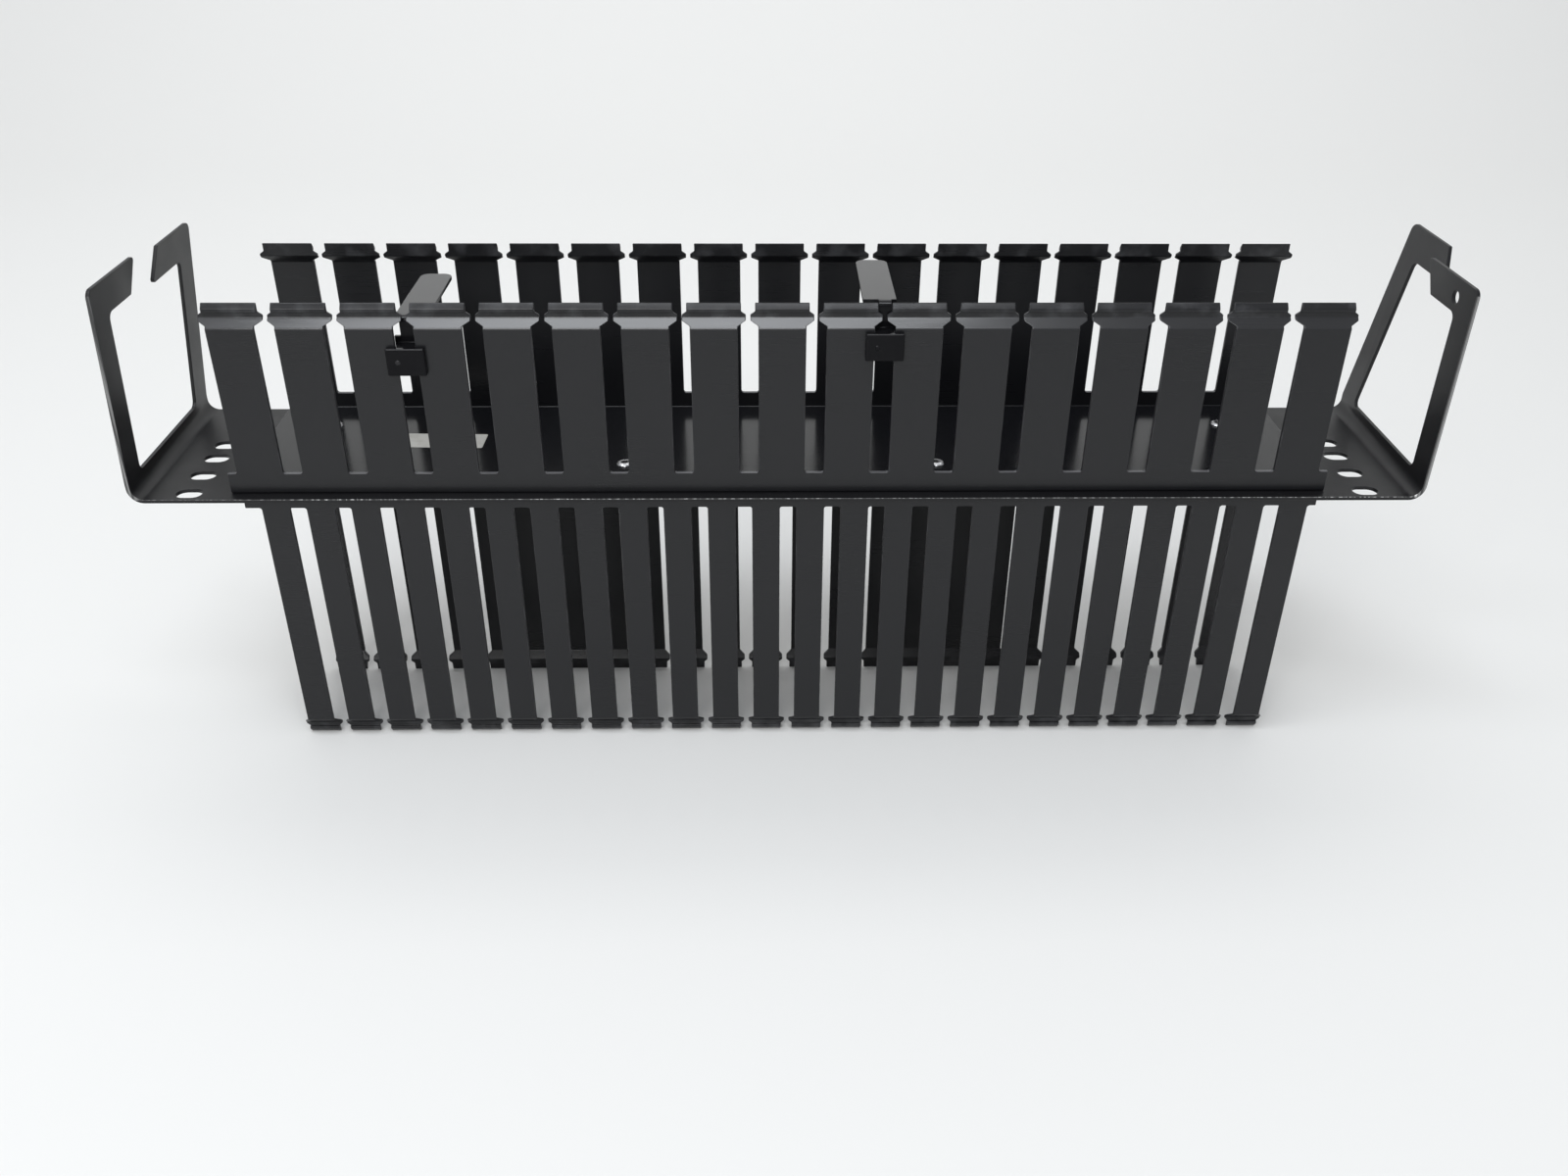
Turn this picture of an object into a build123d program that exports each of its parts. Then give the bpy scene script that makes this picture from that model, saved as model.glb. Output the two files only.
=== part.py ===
from build123d import *
import os
from math import radians, tan

# Two-unit horizontal cable manager for a 19-inch rack. A folded steel plate carries
# a slotted wiring duct on its front and a second one on its back, and each end of the
# plate is folded up into an open cable ring. Two retainers slide in the front duct's slots.
#
# Frame: X runs along the rack's width, Y across the plate from its near long edge to
# its far one, and +Z points out of the rack's front. The origin is the middle of the
# plate's back face, which lies against the rack's rails. Millimetres.

# Steel plate
plate_width = 508.0  # over the outer faces of the two end rings
plate_depth = 87.4
sheet = 1.5
fold_radius = 6.0  # on the outside of the fold

# Rack slots, one column at each end
rack_slot_inset = 21.45  # from a ring's outer face to the middle of its slots
slot_pairs = [76.2, 44.45, 12.7]  # between the two rows of each pair
rack_slot_length = 10.2
rack_slot_width = 7.1

# Cable rings
ring_height = 85.3  # from the plate's back face
ring_bar = 12.7
ring_sill = 8.3  # from the plate's back face up to the ring's window
ring_gap = 12.4  # between the two hooks
ring_gap_slant = 32.0  # degrees away from upright
ring_corner = 3.2
hook_corner = 1.2
window_corner = 3.0
tag_hole = 5.0  # across, through the right ring's near hook
tag_hole_inset = 14.6  # from the plate's near edge
tag_hole_drop = 7.2  # below the ring's top

# Degrees that each arm of a ring is bent towards the middle of the plate
left_near_lean = 3.4
left_far_lean = 6.6
right_near_lean = 0.0
right_far_lean = -9.6

# Front duct
front_pitch = 25.4
front_end_room = 36.0  # the least from a ring's outer face to the duct's end
front_width = 81.4
front_height = 76.2
front_setback = 5.3  # from the plate's near edge
front_floor = 2.0
front_wall = 1.8
front_slot_start = 8.6  # from the duct's back face
front_body = 17.8
front_ear = 23.7
front_bead = 20.2

# Rear duct
rear_pitch = 17.5
rear_end_room = 42.5  # from a ring's outer face, with the duct in the middle
rear_width = 56.0
rear_height = 115.4
rear_setback = 2.0  # from the plate's near edge
rear_shift = 1.0  # of the duct's middle, along X
rear_first_finger = 11.8  # from the duct's left end to the middle of its first finger
rear_floor = 2.0
rear_wall = 1.8
rear_slot_start = 3.3
rear_body = 11.0
rear_ear = 15.5
rear_bead = 12.7

# Fingertips, the same on both ducts, measured back from the tip
tip_shoulder = 8.6
tip_ear_start = 7.9
tip_ear_low = 6.3
tip_slope = 5.25
tip_ear_high = 4.5
tip_groove = 3.3
tip_edge = 1.95
tip_inset = 3.5  # how far the shoulder steps inwards
tip_thickness = 1.3
tip_flat = 0.6  # flat stretch on top of the bead
bead_overhang = 0.85  # how far the bead stands out over the groove
shoulder_corner = 1.2
ear_corner = 1.2
slot_corner = 1.0
duct_corner = 0.8
duct_inner_corner = 0.4

# Blind rivets
rivet_shank = 4.0
rivet_head = 6.5
rivet_head_edge = 0.35
rivet_head_rise = 1.1
rivet_bore = 2.9
rivet_rim = 0.5  # flat ring around the bore, on top of the head
rivet_bulge = 6.0
rivet_bulge_length = 3.2
rivet_end_inset = 25.4  # of the outer rivets, from the front duct's ends
outer_rivet_room = 7.05  # from the rear duct's far side to the outer rivets
inner_rivet_offset = 3.05  # from the rear duct's middle line to the inner rivets
rivet_clearance = 0.05
mandrel_recess = 0.9
mandrel_ball = 3.4
mandrel_clearance = 0.02

# Bare label on the front duct's floor
label_length = 46.0
label_width = 13.4
label_thickness = 0.15
label_corner = 0.8
label_inset = 45.9  # from the front duct's left end
label_offset = 3.5  # from the front duct's middle line
label_turn = -1.5  # degrees

# Retainers in the near wall of the front duct
retainer_clearance = 0.25  # in the slot and against the wall
block_width = 14.4
block_height = 10.6
block_thickness = 2.2
block_corner = 0.6
spine_width = 9.6
spine_thickness = 1.6
spine_rise = 2.4  # from the top of the block to the top of the spine
neck_width = 4.8
paddle_rise = 10.0  # from the top of the block to the top of the paddle
paddle_width = 12.5
paddle_length = 47.0
paddle_thickness = 1.5
paddle_corner = 3.7
neck_bend = 2.4  # outer radius of the neck's bend towards the paddle
neck_flat = 0.2  # from the end of the bend to the paddle
pip_size = 1.6
pip_rise = 0.3
pip_shift = 2.9
left_retainer_fingers = 3  # fingers from the duct's left end to the retainer's slot
left_retainer_drop = 6.9  # from the fingers' shoulder down to the block's top
left_paddle_shift = 2.2
right_retainer_fingers = 10
right_retainer_drop = 1.2
right_paddle_shift = -1.9

# Worked out from the sizes above
near_edge = -plate_depth / 2
ring_face = plate_width / 2
slot_span = plate_width - 2 * rack_slot_inset
front_fingers = int((plate_width - 2 * front_end_room) / front_pitch)
front_length = front_fingers * front_pitch
front_near = near_edge + front_setback
front_middle = front_near + front_width / 2
front_floor_top = sheet + front_floor
front_shoulder = sheet + front_height - tip_shoulder
rear_length = plate_width - 2 * rear_end_room
rear_near = near_edge + rear_setback
rear_middle = rear_near + rear_width / 2
outer_rivet = front_length / 2 - rivet_end_inset
inner_rivet = outer_rivet / 3
outer_rivet_y = rear_near + rear_width + outer_rivet_room
inner_rivet_y = rear_middle - inner_rivet_offset
outer_rivets = [(x, outer_rivet_y) for x in (-outer_rivet, outer_rivet)]
inner_rivets = [(x, inner_rivet_y) for x in (-inner_rivet, inner_rivet)]
rivet_hole = rivet_shank / 2 + rivet_clearance


def save(piece, name):
    """Label a finished piece and write it to its own file."""
    piece.part.label = name
    export_step(piece.part, f"parts/{name}.step")


def duct_wall(edge, height, wall):
    """Section of one duct wall, with its outer face on x = edge and its inner side towards +x."""
    tip_outer = edge + tip_inset
    bead_face = tip_outer - bead_overhang
    tip_inner = tip_outer + tip_thickness
    return [
        (edge, 0),
        (edge, height - tip_shoulder),
        (tip_outer, height - tip_slope),
        (tip_outer, height - tip_groove),
        (bead_face, height - tip_groove),
        (bead_face, height - tip_edge),
        (tip_inner - tip_flat, height),
        (tip_inner, height),
        (tip_inner, height - tip_slope),
        (edge + wall, height - tip_shoulder),
        (edge + wall, 0),
    ]


def finger_face(middle, root, height, body, ear, bead):
    """Outline of one finger as seen from the front, from its root to its tip."""
    half = [
        (body / 2, root),
        (body / 2, height - tip_ear_start),
        (ear / 2, height - tip_ear_low),
        (ear / 2, height - tip_ear_high),
        (bead / 2, height - tip_groove),
        (bead / 2, height),
    ]
    right = [(middle + x, y) for x, y in half]
    left = [(middle - x, y) for x, y in reversed(half)]
    return right + left


def slotted_duct(across, along, size, skin, slot_start, finger, middles, rivets):
    """One duct: a channel drawn on the plane across, then cut to the comb drawn on along.

    Both planes have their origin on the duct's back face, at its middle. The size is the
    length, width and height, the skin is the thickness of floor and wall, and the finger
    is its width at the body, the ears and the bead.
    """
    length, width, height = size
    floor, wall = skin
    with BuildPart() as duct:
        with BuildSketch(across) as section:
            Polygon(*duct_wall(-width / 2, height, wall), align=None)
            mirror(about=Plane.YZ)
            with Locations((0, floor / 2)):
                Rectangle(width - wall, floor)
            shoulders = section.vertices().group_by(Axis.Y)[2]
            fillet(shoulders, radius=shoulder_corner)
            inner_corners = section.vertices().group_by(Axis.Y)[1]
            fillet(inner_corners, radius=duct_inner_corner)
            outer_corners = section.vertices().group_by(Axis.Y)[0]
            fillet(outer_corners, radius=duct_corner)
        extrude(amount=length / 2, both=True)
        with BuildSketch(along) as comb:
            with Locations((0, slot_start / 2)):
                Rectangle(length, slot_start)
            for middle in middles:
                Polygon(*finger_face(middle, slot_start / 2, height, *finger), align=None)
            levels = comb.vertices().group_by(Axis.Y)
            roots = levels[1].sort_by(Axis.X)[1:-1]
            fillet(roots, radius=slot_corner)
            ears = levels[-4] + levels[-3]
            fillet(ears, radius=ear_corner)
        extrude(amount=width, both=True, mode=Mode.INTERSECT)
        with BuildSketch(Plane.XY.offset(across.origin.Z)):
            with Locations(*rivets):
                Circle(rivet_hole)
        extrude(amount=floor, both=True, mode=Mode.SUBTRACT)
    return duct


os.makedirs("parts", exist_ok=True)

# Mounting plate: one folded sheet, built by quarters because each ring arm leans its own way
arm_leans = [
    (-1, -1, left_near_lean),
    (-1, 1, left_far_lean),
    (1, -1, right_near_lean),
    (1, 1, right_far_lean),
]
window_top = ring_height - ring_bar
window_half = plate_depth / 2 - ring_bar
gap_shift = ring_bar / 2 * tan(radians(ring_gap_slant))
gap_left = -ring_gap / 2
gap_right = ring_gap / 2

with BuildPart() as mounting_plate:
    for side, half, lean in arm_leans:
        top_face = ring_face - (ring_height - ring_sill) * tan(radians(lean))
        quarter = Plane(origin=(0, half * plate_depth / 4, 0), x_dir=(side, 0, 0), z_dir=(0, -side, 0))
        with BuildSketch(quarter) as fold:
            Polygon(
                (0, 0),
                (ring_face, 0),
                (ring_face, ring_sill),
                (top_face, ring_height),
                (top_face - sheet, ring_height),
                (ring_face - sheet, ring_sill),
                (ring_face - sheet, sheet),
                (0, sheet),
                align=None,
            )
            outer_fold = fold.vertices().sort_by_distance((ring_face, 0))[0]
            fillet(outer_fold, radius=fold_radius)
            inner_fold = fold.vertices().sort_by_distance((ring_face - sheet, sheet))[0]
            fillet(inner_fold, radius=fold_radius - sheet)
        extrude(amount=plate_depth / 4, both=True)

    # Outline of both rings, seen from the side: window, slanted gap between the hooks, corners
    with BuildSketch(Plane.YZ) as ring:
        with Locations((0, ring_height / 2)):
            Rectangle(plate_depth, ring_height)
        with Locations((0, (ring_sill + window_top) / 2)):
            Rectangle(2 * window_half, window_top - ring_sill, mode=Mode.SUBTRACT)
        Polygon(
            (gap_left - gap_shift, window_top),
            (gap_right - gap_shift, window_top),
            (gap_right + gap_shift, ring_height),
            (gap_left + gap_shift, ring_height),
            align=None,
            mode=Mode.SUBTRACT,
        )
        corners = [
            (-plate_depth / 2, ring_height, ring_corner),
            (plate_depth / 2, ring_height, ring_corner),
            (-window_half, window_top, window_corner),
            (window_half, window_top, window_corner),
            (-window_half, ring_sill, window_corner),
            (window_half, ring_sill, window_corner),
            (gap_left - gap_shift, window_top, hook_corner),
            (gap_right - gap_shift, window_top, hook_corner),
            (gap_left + gap_shift, ring_height, hook_corner),
            (gap_right + gap_shift, ring_height, hook_corner),
        ]
        for across, up, radius in corners:
            fillet(ring.vertices().sort_by_distance((across, up))[0], radius=radius)
    extrude(amount=plate_width, both=True, mode=Mode.INTERSECT)

    with BuildSketch(Plane.YZ):
        with Locations((near_edge + tag_hole_inset, ring_height - tag_hole_drop)):
            Circle(tag_hole / 2)
    extrude(amount=plate_width, mode=Mode.SUBTRACT)

    with BuildSketch(Plane.XY):
        for slot_pair in slot_pairs:
            with GridLocations(slot_span, slot_pair, 2, 2):
                SlotOverall(rack_slot_length, rack_slot_width)
        with Locations(*outer_rivets, *inner_rivets):
            Circle(rivet_hole)
    extrude(amount=sheet, mode=Mode.SUBTRACT)
save(mounting_plate, "mounting_plate")

# Front duct: wide fingers, a whole number of them from end to end
front_first = (front_pitch - front_length) / 2
front_duct = slotted_duct(
    across=Plane(origin=(0, front_middle, sheet), x_dir=(0, 1, 0), z_dir=(1, 0, 0)),
    along=Plane(origin=(0, front_middle, sheet), x_dir=(1, 0, 0), z_dir=(0, -1, 0)),
    size=(front_length, front_width, front_height),
    skin=(front_floor, front_wall),
    slot_start=front_slot_start,
    finger=(front_body, front_ear, front_bead),
    middles=[front_first + n * front_pitch for n in range(front_fingers)],
    rivets=outer_rivets + inner_rivets,
)
save(front_duct, "front_duct")

# Rear duct: narrow, deep fingers, cut from a longer length so that its two ends differ
rear_first = rear_first_finger - rear_length / 2
rear_last_room = rear_length - rear_first_finger - rear_body / 2 - slot_corner
rear_fingers = int(rear_last_room / rear_pitch) + 1
rear_duct = slotted_duct(
    across=Plane(origin=(rear_shift, rear_middle, 0), x_dir=(0, 1, 0), z_dir=(-1, 0, 0)),
    along=Plane(origin=(rear_shift, rear_middle, 0), x_dir=(1, 0, 0), z_dir=(0, 1, 0)),
    size=(rear_length, rear_width, rear_height),
    skin=(rear_floor, rear_wall),
    slot_start=rear_slot_start,
    finger=(rear_body, rear_ear, rear_bead),
    middles=[rear_first + n * rear_pitch for n in range(rear_fingers)],
    rivets=inner_rivets,
)
save(rear_duct, "rear_duct")


# Blind rivets: a domed head on the front duct's floor and a swollen tail under the stack
def rivet(place, underside):
    """One rivet's hollow body, from its head down to its tail below the height underside."""
    x, y = place
    bore = rivet_bore / 2
    rim = bore + rivet_rim
    head_top = front_floor_top + rivet_head_rise
    head_edge = front_floor_top + rivet_head_edge
    tail = underside - rivet_bulge_length
    dome = ((rim + rivet_head / 2) / 2, (head_top * 2 + head_edge) / 3)
    with BuildPart() as body:
        with BuildSketch(Plane(origin=(x, y, 0), x_dir=(1, 0, 0), z_dir=(0, -1, 0))):
            with BuildLine():
                Polyline((rivet_shank / 2, tail), (bore, tail), (bore, head_top), (rim, head_top))
                ThreePointArc((rim, head_top), dome, (rivet_head / 2, head_edge))
                Polyline(
                    (rivet_head / 2, head_edge),
                    (rivet_head / 2, front_floor_top),
                    (rivet_shank / 2, front_floor_top),
                    (rivet_shank / 2, underside),
                    (rivet_bulge / 2, underside),
                )
                Spline(
                    (rivet_bulge / 2, underside),
                    (rivet_bulge / 2, (underside + tail) / 2),
                    (rivet_shank / 2, tail),
                )
            make_face()
        revolve(axis=Axis((x, y, 0), (0, 0, 1)))
    return body


def mandrel(place, underside):
    """The broken mandrel left in one rivet: a pin with a half ball under the tail."""
    x, y = place
    pin = rivet_bore / 2 - mandrel_clearance
    ball = mandrel_ball / 2
    pin_top = front_floor_top + rivet_head_rise - mandrel_recess
    tail = underside - rivet_bulge_length
    with BuildPart() as body:
        with BuildSketch(Plane(origin=(x, y, 0), x_dir=(1, 0, 0), z_dir=(0, -1, 0))):
            with BuildLine():
                Polyline((0, tail - ball), (0, pin_top), (pin, pin_top), (pin, tail), (ball, tail))
                RadiusArc((ball, tail), (0, tail - ball), ball)
            make_face()
        revolve(axis=Axis((x, y, 0), (0, 0, 1)))
    return body


rivet_places = {
    "left_outer": (outer_rivets[0], 0),
    "left_inner": (inner_rivets[0], -rear_floor),
    "right_inner": (inner_rivets[1], -rear_floor),
    "right_outer": (outer_rivets[1], 0),
}
for name, (place, underside) in rivet_places.items():
    save(rivet(place, underside), f"{name}_rivet")
    save(mandrel(place, underside), f"{name}_rivet_mandrel")

# Bare label
label_x = -front_length / 2 + label_inset + label_length / 2
label_y = front_middle + label_offset
with BuildPart() as label:
    with BuildSketch(Plane.XY.offset(front_floor_top)):
        with Locations(Location((label_x, label_y, 0), (0, 0, label_turn))):
            RectangleRounded(label_length, label_width, label_corner)
    extrude(amount=label_thickness)
save(label, "label")


# Retainers: a block outside the wall, a web through the slot, a spine inside and a paddle
def retainer(fingers, drop, paddle_shift):
    """One retainer, with its slot counted in fingers and its block's top below the shoulder."""
    middle = fingers * front_pitch - front_length / 2
    web_width = front_pitch - front_body - 2 * retainer_clearance
    block_top = front_shoulder - drop
    block_bottom = block_top - block_height
    block_middle = (block_top + block_bottom) / 2
    block_back = front_near - retainer_clearance
    block_front = block_back - block_thickness
    spine_front = front_near + tip_inset + tip_thickness + retainer_clearance
    spine_back = spine_front + spine_thickness
    spine_top = block_top + spine_rise
    paddle_near = spine_front + neck_bend + neck_flat
    paddle_top = block_top + paddle_rise
    paddle_bottom = paddle_top - paddle_thickness
    with BuildPart() as body:
        with BuildSketch(Plane.XZ.offset(-block_back)):
            with Locations((middle, block_middle)):
                RectangleRounded(block_width, block_height, block_corner)
        extrude(amount=block_thickness)
        fillet(body.faces().sort_by(Axis.Y)[0].edges(), radius=block_corner)
        with BuildSketch(Plane.XZ.offset(-block_front)):
            with Locations((middle - pip_shift, block_middle)):
                Circle(pip_size / 2)
        extrude(amount=pip_rise)
        with BuildSketch(Plane.XZ.offset(-block_back)):
            with Locations((middle, block_middle)):
                Rectangle(web_width, block_height)
        extrude(amount=block_back - spine_front)
        with BuildSketch(Plane.XZ.offset(-spine_front)):
            with Locations((middle, (block_bottom + spine_top) / 2)):
                Rectangle(spine_width, spine_top - block_bottom)
        extrude(amount=-spine_thickness)
        with BuildSketch(Plane.YZ.offset(middle)) as neck:
            Polygon(
                (spine_front, block_bottom),
                (spine_back, block_bottom),
                (spine_back, paddle_bottom),
                (paddle_near, paddle_bottom),
                (paddle_near, paddle_top),
                (spine_front, paddle_top),
                align=None,
            )
            outer_bend = neck.vertices().sort_by_distance((spine_front, paddle_top))[0]
            fillet(outer_bend, radius=neck_bend)
            inner_bend = neck.vertices().sort_by_distance((spine_back, paddle_bottom))[0]
            fillet(inner_bend, radius=neck_bend - spine_thickness)
        extrude(amount=neck_width / 2, both=True)
        with BuildSketch(Plane.XY.offset(paddle_bottom)) as paddle:
            with Locations((middle + paddle_shift, paddle_near + paddle_length / 2)):
                Rectangle(paddle_width, paddle_length)
            fillet(paddle.vertices().group_by(Axis.Y)[-1], radius=paddle_corner)
        extrude(amount=paddle_thickness)
    return body


left_retainer = retainer(left_retainer_fingers, left_retainer_drop, left_paddle_shift)
save(left_retainer, "left_retainer")
right_retainer = retainer(right_retainer_fingers, right_retainer_drop, right_paddle_shift)
save(right_retainer, "right_retainer")
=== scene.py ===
from math import radians
import bpy
from mathutils import Matrix, Vector


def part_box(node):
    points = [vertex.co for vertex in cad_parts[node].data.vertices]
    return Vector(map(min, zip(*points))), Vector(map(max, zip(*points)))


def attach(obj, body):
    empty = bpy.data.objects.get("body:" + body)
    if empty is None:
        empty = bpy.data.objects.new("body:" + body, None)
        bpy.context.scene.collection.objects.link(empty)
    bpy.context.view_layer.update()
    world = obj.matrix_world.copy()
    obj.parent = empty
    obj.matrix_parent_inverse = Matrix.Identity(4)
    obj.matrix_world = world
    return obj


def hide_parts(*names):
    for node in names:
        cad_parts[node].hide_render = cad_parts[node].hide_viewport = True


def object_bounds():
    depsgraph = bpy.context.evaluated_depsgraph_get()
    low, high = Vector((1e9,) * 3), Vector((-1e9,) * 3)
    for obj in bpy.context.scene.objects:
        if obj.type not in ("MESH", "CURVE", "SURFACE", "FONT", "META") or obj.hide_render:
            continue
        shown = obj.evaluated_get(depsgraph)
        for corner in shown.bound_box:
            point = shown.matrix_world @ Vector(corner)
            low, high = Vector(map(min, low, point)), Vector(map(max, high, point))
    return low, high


# Black horizontal cable manager for a 19-inch rack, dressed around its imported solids.
# Metres. X runs along the rack, Y away from the camera, and Z points out of the rack's front.
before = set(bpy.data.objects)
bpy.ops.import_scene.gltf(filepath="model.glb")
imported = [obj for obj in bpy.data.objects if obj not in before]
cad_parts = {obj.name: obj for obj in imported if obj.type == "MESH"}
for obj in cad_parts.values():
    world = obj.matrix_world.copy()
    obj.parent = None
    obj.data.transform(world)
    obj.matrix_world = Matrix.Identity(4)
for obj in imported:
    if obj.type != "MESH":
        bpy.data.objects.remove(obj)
cad_low, cad_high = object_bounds()

# Camera: half a metre in front of the object and a quarter of a metre above the plate, tilted
# down at it and turned a degree to the right. It has no lens distortion, so it was fitted to
# the whole object.
camera = bpy.data.objects.new("camera", bpy.data.cameras.new("camera"))
bpy.context.collection.objects.link(camera)
camera.data.sensor_width = 36.0
camera.data.lens = 31.016
camera.location = (-0.008576, -0.514442, 0.246395)
tilt_down, turn_right, roll = radians(31.269), radians(1.179), radians(0.396)
heading = Matrix.Rotation(-turn_right, 3, "Z")
tilt = Matrix.Rotation(radians(90) - tilt_down, 3, "X")
camera.rotation_euler = (heading @ tilt @ Matrix.Rotation(roll, 3, "Z")).to_euler()
bpy.context.scene.camera = camera


# Studio: a pale cloth sweep under and behind the object, a soft lamp overhead on the camera's
# side that the sloping fingertips mirror, one behind the camera for the faces turned to it, a
# wide one over the backdrop, and a soft pale room.
def area_lamp(name, place, aim, width, depth, power, colour=(1, 1, 1)):
    """A rectangular lamp at a place, facing a point."""
    lamp = bpy.data.lights.new(name, "AREA")
    lamp.shape = "RECTANGLE"
    lamp.size, lamp.size_y, lamp.energy, lamp.color = width, depth, power, colour
    holder = bpy.data.objects.new(name, lamp)
    bpy.context.collection.objects.link(holder)
    holder.location = place
    holder.rotation_euler = (Vector(aim) - Vector(place)).to_track_quat("-Z", "Y").to_euler()


def edit_edges(piece):
    """Open one piece alone in edit mode, to work on its edges, with nothing in it selected."""
    bpy.ops.object.select_all(action="DESELECT")
    piece.select_set(True)
    bpy.context.view_layer.objects.active = piece
    bpy.ops.object.mode_set(mode="EDIT")
    bpy.ops.mesh.select_mode(type="EDGE")
    bpy.ops.mesh.select_all(action="DESELECT")


sweep_width, sweep_depth, sweep_back, sweep_height = 9.0, 5.9, 1.7, 2.6
cove_radius, cove_steps = 0.8, 16
bpy.ops.object.select_all(action="DESELECT")
bpy.ops.mesh.primitive_plane_add(size=1, location=(0, sweep_back - sweep_depth / 2, cad_low.z))
sweep = bpy.context.object
sweep.name = "cloth_sweep"
sweep.scale = (sweep_width, sweep_depth, 1)
bpy.ops.object.transform_apply(location=True, rotation=True, scale=True)
edit_edges(sweep)
bpy.ops.object.mode_set(mode="OBJECT")
for edge in sweep.data.edges:
    edge.select = all(sweep.data.vertices[v].co.y > 0 for v in edge.vertices)
bpy.ops.object.mode_set(mode="EDIT")
bpy.ops.mesh.extrude_region_move(TRANSFORM_OT_translate={"value": (0, 0, sweep_height)})
bpy.ops.object.mode_set(mode="OBJECT")
cove = sweep.modifiers.new("cove", "BEVEL")
cove.width, cove.segments, cove.limit_method = cove_radius, cove_steps, "ANGLE"
bpy.ops.object.modifier_apply(modifier="cove")
bpy.ops.object.shade_smooth()

cloth = bpy.data.materials.new("pale_cloth")
cloth.use_nodes = True
cloth_shader = cloth.node_tree.nodes["Principled BSDF"]
cloth_shader.inputs["Base Color"].default_value = (0.78, 0.78, 0.765, 1)
cloth_shader.inputs["Roughness"].default_value = 0.9
cloth_shader.inputs["Specular IOR Level"].default_value = 0.1
sweep.data.materials.append(cloth)

above_plate, up_the_backdrop, daylight = (0, 0, 0.05), (0, 1.7, 0.4), (0.93, 0.96, 1.0)
area_lamp("overhead_lamp", (-0.25, -0.46, 1.45), above_plate, 1.3, 0.4, 11.4, daylight)
area_lamp("front_lamp", (-0.35, -1.35, 1.05), above_plate, 0.9, 0.4, 10)
area_lamp("backdrop_lamp", (0, 0.9, 1.7), up_the_backdrop, 2.6, 0.7, 13)

room = bpy.data.worlds.new("room")
bpy.context.scene.world = room
room.use_nodes = True
room_light = room.node_tree.nodes["Background"]
room_light.inputs["Color"].default_value = (0.94, 0.96, 1.0, 1)
room_light.inputs["Strength"].default_value = 0.53
bpy.context.scene.view_settings.view_transform = "Standard"


# Mounting plate: 1.5 mm steel sheet, cut, punched and folded up at both ends, with a satin
# black powder coat that is worn through to bright steel in dashes along its near upper edge.
def softened(node, name, width):
    """A copy of one CAD node, merged into one skin, with its sharp edges rounded over.

    The rounded faces carry the attribute soft_edge, which the materials wear down.
    """
    weld_distance, flat_angle, sharp_angle, smooth_angle = 1e-6, 0.5, 28, 60
    piece = bpy.data.objects.new(name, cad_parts[node].data.copy())
    bpy.context.collection.objects.link(piece)
    edit_edges(piece)
    bpy.ops.mesh.customdata_custom_splitnormals_clear()
    bpy.ops.mesh.select_all(action="SELECT")
    bpy.ops.mesh.remove_doubles(threshold=weld_distance)
    bpy.ops.mesh.dissolve_limited(angle_limit=radians(flat_angle))
    bpy.ops.mesh.select_all(action="DESELECT")
    bpy.ops.mesh.edges_select_sharp(sharpness=radians(sharp_angle))
    bpy.ops.mesh.bevel(offset=width, segments=2, affect="EDGES", clamp_overlap=False)
    bpy.ops.object.mode_set(mode="OBJECT")
    soft_edge = piece.data.attributes.new("soft_edge", "FLOAT", "FACE")
    for face in piece.data.polygons:
        soft_edge.data[face.index].value = float(face.select)
    bpy.ops.object.shade_smooth_by_angle(angle=radians(smooth_angle))
    flat_faces = piece.modifiers.new("flat_faces", "WEIGHTED_NORMAL")
    flat_faces.keep_sharp = True
    bpy.ops.object.modifier_apply(modifier="flat_faces")
    piece.data.materials.clear()
    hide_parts(node)
    return piece


def finish_on(piece, material, body):
    """Give a finished piece its material and its body."""
    piece.data.materials.append(material)
    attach(piece, body)


def add_node(tree, kind, sockets=(), **settings):
    """One shader node, with its settings, and its sockets set to values or linked."""
    new = tree.nodes.new(f"ShaderNode{kind}")
    for setting, value in settings.items():
        setattr(new, setting, value)
    for socket, value in dict(sockets).items():
        if isinstance(value, bpy.types.NodeSocket):
            tree.links.new(value, new.inputs[socket])
        else:
            new.inputs[socket].default_value = value
    return new


def value_of(tree, operation, first, second=0.0):
    """The result of one sum on one or two values."""
    return add_node(tree, "Math", {0: first, 1: second}, operation=operation).outputs[0]


def product(tree, first, second):
    """Two values multiplied."""
    return value_of(tree, "MULTIPLY", first, second)


def total(tree, first, second):
    """Two values added."""
    return value_of(tree, "ADD", first, second)


def spread(tree, value, low, high, out_low=0.0, out_high=1.0):
    """A value taken from one range to another, and held inside it."""
    sockets = {"Value": value, "From Min": low, "From Max": high, "To Min": out_low, "To Max": out_high}
    return add_node(tree, "MapRange", sockets).outputs["Result"]


def covered(tree, mask, under, over):
    """The colour under, covered by the colour over where the mask is 1."""
    return add_node(tree, "Mix", {0: mask, 6: under, 7: over}, data_type="RGBA").outputs[2]


def speckle(tree, place, scale, detail):
    """Noise at so many cells a metre."""
    sockets = {"Vector": place, "Scale": scale, "Detail": detail}
    return add_node(tree, "TexNoise", sockets).outputs["Fac"]


def effect_group(name, inputs, outputs):
    """An empty node group with named float sockets, and its two end nodes."""
    group = bpy.data.node_groups.new(name, "ShaderNodeTree")
    for side, sockets in (("INPUT", inputs), ("OUTPUT", outputs)):
        for socket in sockets:
            group.interface.new_socket(socket, in_out=side, socket_type="NodeSocketFloat")
    return group, group.nodes.new("NodeGroupInput"), group.nodes.new("NodeGroupOutput")


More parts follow.
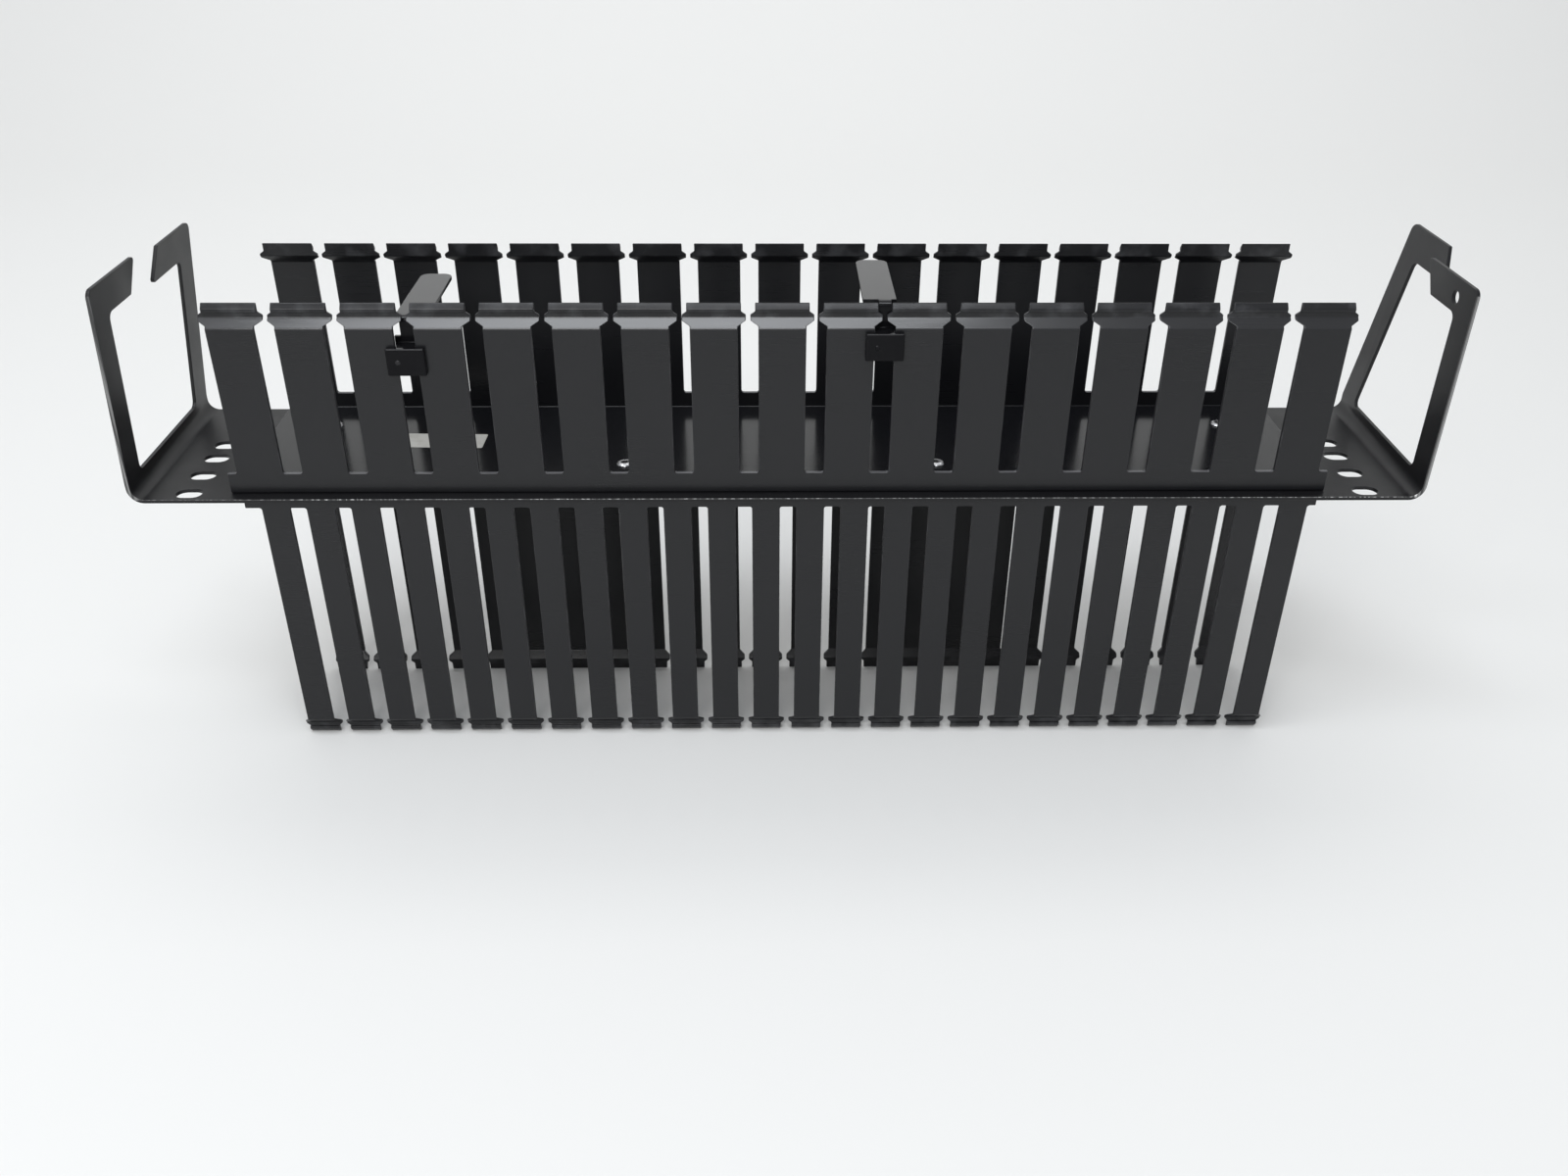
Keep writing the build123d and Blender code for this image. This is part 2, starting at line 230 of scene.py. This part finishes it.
def place_effect(tree, group, **values):
    """One use of an effect in a material, with its own values."""
    used = tree.nodes.new("ShaderNodeGroup")
    used.node_tree = group
    for socket, value in values.items():
        used.inputs[socket].default_value = value
    return used.outputs


def new_material(name, gloss, metal=0.0):
    """A material with its plain values set, and its tree, shader and object coordinates."""
    material = bpy.data.materials.new(name)
    material.use_nodes = True
    tree = material.node_tree
    shader = tree.nodes["Principled BSDF"]
    shader.inputs["Specular IOR Level"].default_value = gloss
    shader.inputs["Metallic"].default_value = metal
    place = add_node(tree, "TexCoord").outputs
    return material, tree, shader, place


def finish_surface(tree, shader, colour, roughness, height, depth, strength):
    """Link a material's colour, roughness and relief, whose depth is in metres."""
    bump = add_node(tree, "Bump", {"Height": height, "Distance": depth, "Strength": strength})
    tree.links.new(colour, shader.inputs["Base Color"])
    tree.links.new(roughness, shader.inputs["Roughness"])
    tree.links.new(bump.outputs["Normal"], shader.inputs["Normal"])


# The rounded edges are worn in patches.
rubbed_edges, given, result = effect_group("rubbed_edges", ["Scale", "Amount"], ["Mask"])
edge_faces = add_node(rubbed_edges, "Attribute", attribute_name="soft_edge").outputs["Fac"]
place = add_node(rubbed_edges, "TexCoord").outputs["Object"]
patches = speckle(rubbed_edges, place, given.outputs["Scale"], 5.0)
patches = spread(rubbed_edges, total(rubbed_edges, patches, given.outputs["Amount"]), 0.98, 1.2)
rubbed_edges.links.new(product(rubbed_edges, edge_faces, patches), result.inputs["Mask"])

# Fine dust lies in specks on what faces up, as the object stands, and thicker in slow drifts.
settled_dust, given, result = effect_group("settled_dust", ["Scale", "Amount"], ["Mask"])
place = add_node(settled_dust, "TexCoord").outputs
upward = add_node(settled_dust, "SeparateXYZ", {0: place["Normal"]}).outputs["Z"]
upward = spread(settled_dust, upward, 0.35, 1.0)
specks = speckle(settled_dust, place["Object"], given.outputs["Scale"], 3.0)
drifts = speckle(settled_dust, place["Object"], 14.0, 3.0)
specks = total(settled_dust, specks, product(settled_dust, drifts, 0.35))
specks = spread(settled_dust, total(settled_dust, specks, given.outputs["Amount"]), 0.93, 1.0)
settled_dust.links.new(product(settled_dust, upward, specks), result.inputs["Mask"])

# A fine grain for relief and a slow cloud for tone, which every finish draws on.
skin_grain, given, result = effect_group("skin_grain", ["Scale", "Cloud"], ["Grain", "Tone"])
place = add_node(skin_grain, "TexCoord").outputs["Object"]
skin_grain.links.new(speckle(skin_grain, place, given.outputs["Scale"], 1.5), result.inputs["Grain"])
skin_grain.links.new(speckle(skin_grain, place, given.outputs["Cloud"], 5.0), result.inputs["Tone"])

powder_coat, tree, shader, place = new_material("satin_powder_coat", 0.33)
coat_black, coat_rubbed = (0.0075, 0.0075, 0.0085, 1), (0.05, 0.05, 0.052, 1)
bare_steel, dust_colour = (0.6, 0.6, 0.59, 1), (0.33, 0.32, 0.30, 1)
sheet_top = 0.0015
wear_from_face, wear_from_top = (0.0003, 0.00015), (0.00025, 0.0001)  # where it starts, and is full
grain = place_effect(tree, skin_grain, Scale=1100.0, Cloud=30.0)
rubbed = place_effect(tree, rubbed_edges, Scale=70.0, Amount=0.42)["Mask"]
dust = place_effect(tree, settled_dust, Scale=1400.0, Amount=0.02)["Mask"]
where = add_node(tree, "SeparateXYZ", {0: place["Object"]}).outputs
near_strip = spread(tree, where["Y"], *[cad_low.y + reach for reach in wear_from_face])
upper_strip = spread(tree, where["Z"], *[sheet_top - reach for reach in wear_from_top])
along_edge = add_node(tree, "Mapping", {"Vector": place["Object"], "Scale": (1.0, 0.0, 0.0)}).outputs[0]
bright_dots = spread(tree, speckle(tree, along_edge, 600.0, 3.0), 0.48, 0.56)
rubbed_length = spread(tree, speckle(tree, along_edge, 7.0, 2.0), 0.4, 0.6, 0.15, 0.9)
dashes = total(tree, product(tree, bright_dots, rubbed_length), 0.08)
worn = product(tree, product(tree, near_strip, upper_strip), dashes)
colour = covered(tree, rubbed, coat_black, coat_rubbed)
colour = covered(tree, worn, colour, bare_steel)
colour = covered(tree, product(tree, dust, 0.25), colour, dust_colour)
roughness = spread(tree, grain["Tone"], 0.3, 0.7, 0.32, 0.46)
finish_surface(tree, shader, colour, roughness, grain["Grain"], 0.00003, 0.35)
tree.links.new(worn, shader.inputs["Metallic"])

finish_on(softened("mounting_plate", "folded_plate", 0.0002), powder_coat, "manager")


# Front and rear ducts: rigid black plastic, extruded as open channels and punched into fingers.
# The walls are matt with fine lines along them, level faces glossier, and the slots' sides rough
# and paler. The front duct has glossier sloping shoulders, and paler slot ends: a painted
# highlight on their upward faces.
def band(tree, value, low, high, fade_below, fade_above):
    """A mask that is 1 from low to high and fades out below and above."""
    over_low = spread(tree, value, low - fade_below, low)
    under_high = spread(tree, value, high + fade_above, high)
    return product(tree, over_low, under_high)


duct_plastic, tree, shader, place = new_material("duct_plastic", 0.4)
front_foot, front_tips = [corner[2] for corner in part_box("front_duct")]
slot_end = front_foot + 0.0086
shoulder_low, shoulder_high = front_tips - 0.0091, front_tips - 0.0048
duct_black, duct_cloud = (0.0052, 0.0055, 0.0068, 1), (0.0088, 0.0090, 0.0105, 1)
duct_scuffed, punched_grey = (0.05, 0.051, 0.055, 1), (0.02, 0.02, 0.022, 1)
slot_end_highlight_grey = (0.085, 0.085, 0.09, 1)
grain = place_effect(tree, skin_grain, Scale=2600.0, Cloud=22.0)
rubbed = place_effect(tree, rubbed_edges, Scale=120.0, Amount=0.5)["Mask"]
dust = place_effect(tree, settled_dust, Scale=1700.0, Amount=0.0)["Mask"]
along = add_node(tree, "Mapping", {"Vector": place["Object"], "Scale": (0.012, 1.0, 1.0)}).outputs[0]
drawn_lines = speckle(tree, along, 1900.0, 3.0)
facing = add_node(tree, "SeparateXYZ", {0: place["Normal"]}).outputs
up = add_node(tree, "SeparateXYZ", {0: place["Object"]}).outputs["Z"]
punched = spread(tree, value_of(tree, "ABSOLUTE", facing["X"]), 0.6, 0.8)
level = spread(tree, value_of(tree, "ABSOLUTE", facing["Z"]), 0.9, 0.98)
# Painted highlight: the upward faces at the slot ends get a paler grey, as if lit from above.
slot_end_highlight_mask = band(tree, up, slot_end - 0.0002, slot_end + 0.0003, 0.0003, 0.0005)
slot_end_highlight_mask = product(tree, slot_end_highlight_mask, spread(tree, facing["Z"], 0.5, 0.8))
shear_marks = speckle(tree, place["Object"], 3200.0, 2.0)
colour = covered(tree, grain["Tone"], duct_black, duct_cloud)
colour = covered(tree, punched, colour, punched_grey)
# The slot ends' painted highlight goes on here.
colour = covered(tree, slot_end_highlight_mask, colour, slot_end_highlight_grey)
colour = covered(tree, product(tree, rubbed, 0.7), colour, duct_scuffed)
colour = covered(tree, product(tree, dust, 0.22), colour, dust_colour)
roughness = spread(tree, total(tree, drawn_lines, grain["Tone"]), 0.6, 1.4, 0.25, 0.35)
roughness = value_of(tree, "SUBTRACT", roughness, product(tree, level, 0.14))
roughness = total(tree, roughness, product(tree, punched, 0.2))
drawn = product(tree, drawn_lines, value_of(tree, "SUBTRACT", 1.0, level))
relief = total(tree, product(tree, drawn, 0.7), grain["Grain"])
relief = total(tree, relief, product(tree, shear_marks, punched))
finish_surface(tree, shader, colour, roughness, relief, 0.000012, 0.28)
shoulders = band(tree, up, shoulder_low, shoulder_high, 0.0003, 0.0002)
sloping = spread(tree, facing["Z"], 0.02, 0.3, 0.0, 0.6)
tree.links.new(product(tree, shoulders, sloping), shader.inputs["Coat Weight"])
shader.inputs["Coat Roughness"].default_value = 0.13

for node, name in (("front_duct", "front_channel"), ("rear_duct", "rear_channel")):
    finish_on(softened(node, name, 0.0003), duct_plastic, "manager")


# Blind rivets: soft aluminium heads pulled down on the front duct's floor, each with the
# broken end of its steel mandrel set a little below the rim of the bore.
rivet_aluminium, tree, shader, place = new_material("rivet_aluminium", 0.5, metal=1.0)
aluminium_dull, aluminium_bright = (0.62, 0.62, 0.63, 1), (0.86, 0.86, 0.87, 1)
aluminium_rubbed = (0.9, 0.9, 0.91, 1)
grain = place_effect(tree, skin_grain, Scale=2200.0, Cloud=500.0)
rubbed = place_effect(tree, rubbed_edges, Scale=400.0, Amount=0.5)["Mask"]
colour = covered(tree, grain["Tone"], aluminium_dull, aluminium_bright)
colour = covered(tree, rubbed, colour, aluminium_rubbed)
roughness = spread(tree, grain["Tone"], 0.3, 0.7, 0.22, 0.42)
finish_surface(tree, shader, colour, roughness, grain["Grain"], 0.00003, 0.4)

mandrel_steel, tree, shader, place = new_material("mandrel_steel", 0.5, metal=1.0)
mandrel_dark, mandrel_grey = (0.03, 0.03, 0.03, 1), (0.075, 0.073, 0.07, 1)
grain = place_effect(tree, skin_grain, Scale=3500.0, Cloud=700.0)
colour = covered(tree, grain["Tone"], mandrel_dark, mandrel_grey)
roughness = spread(tree, grain["Tone"], 0.3, 0.7, 0.4, 0.65)
finish_surface(tree, shader, colour, roughness, grain["Grain"], 0.00008, 0.8)

for side in ("left", "right"):
    for place_on_duct in ("outer", "inner"):
        rivet = f"{side}_{place_on_duct}_rivet"
        head = softened(rivet, f"{rivet}_head", 0.00008)
        finish_on(head, rivet_aluminium, "manager")
        pin = softened(f"{rivet}_mandrel", f"{rivet}_pin", 0.00006)
        finish_on(pin, mandrel_steel, "manager")


# Bare label: cream paper stuck on the front duct's floor, its fibres just showing.
# It is the CAD node itself, with its material.
label_paper, tree, shader, place = new_material("label_paper", 0.25)
fibre_shade, fibre_light = (0.51, 0.50, 0.46, 1), (0.63, 0.625, 0.59, 1)
paper_stain = (0.47, 0.455, 0.41, 1)
grain = place_effect(tree, skin_grain, Scale=1300.0, Cloud=120.0)
fibre_run = add_node(tree, "Mapping", {"Vector": place["Object"], "Scale": (0.25, 1.0, 1.0)}).outputs[0]
fibres = speckle(tree, fibre_run, 2400.0, 4.0)
colour = covered(tree, fibres, fibre_shade, fibre_light)
colour = covered(tree, spread(tree, grain["Tone"], 0.55, 0.75), colour, paper_stain)
roughness = spread(tree, fibres, 0.3, 0.7, 0.55, 0.75)
finish_surface(tree, shader, colour, roughness, fibres, 0.00002, 0.5)
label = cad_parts["label"]
label.data.materials.clear()
label.data.materials.append(label_paper)


# Retainers: black nylon mouldings in the front duct's near wall. Each slides in its slot on
# a web, with a dull block outside, a spine inside and a glossier paddle over the channel.
retainer_nylon, tree, shader, place = new_material("retainer_nylon", 0.1)
nylon_black, nylon_cloud = (0.0035, 0.0035, 0.0045, 1), (0.007, 0.007, 0.008, 1)
nylon_scuffed = (0.05, 0.05, 0.052, 1)
grain = place_effect(tree, skin_grain, Scale=1800.0, Cloud=60.0)
rubbed = place_effect(tree, rubbed_edges, Scale=200.0, Amount=0.5)["Mask"]
dust = place_effect(tree, settled_dust, Scale=1500.0, Amount=0.02)["Mask"]
colour = covered(tree, grain["Tone"], nylon_black, nylon_cloud)
colour = covered(tree, product(tree, rubbed, 0.6), colour, nylon_scuffed)
colour = covered(tree, product(tree, dust, 0.3), colour, dust_colour)
roughness = spread(tree, grain["Tone"], 0.3, 0.7, 0.11, 0.2)
finish_surface(tree, shader, colour, roughness, grain["Grain"], 0.00001, 0.3)
facing_up = add_node(tree, "SeparateXYZ", {0: place["Normal"]}).outputs["Z"]
tree.links.new(spread(tree, facing_up, 0.4, 0.95, 0.0, 0.75), shader.inputs["Coat Weight"])
shader.inputs["Coat Roughness"].default_value = 0.12

for side in ("left", "right"):
    clip = softened(f"{side}_retainer", f"{side}_clip", 0.0002)
    finish_on(clip, retainer_nylon, f"{side}_retainer")
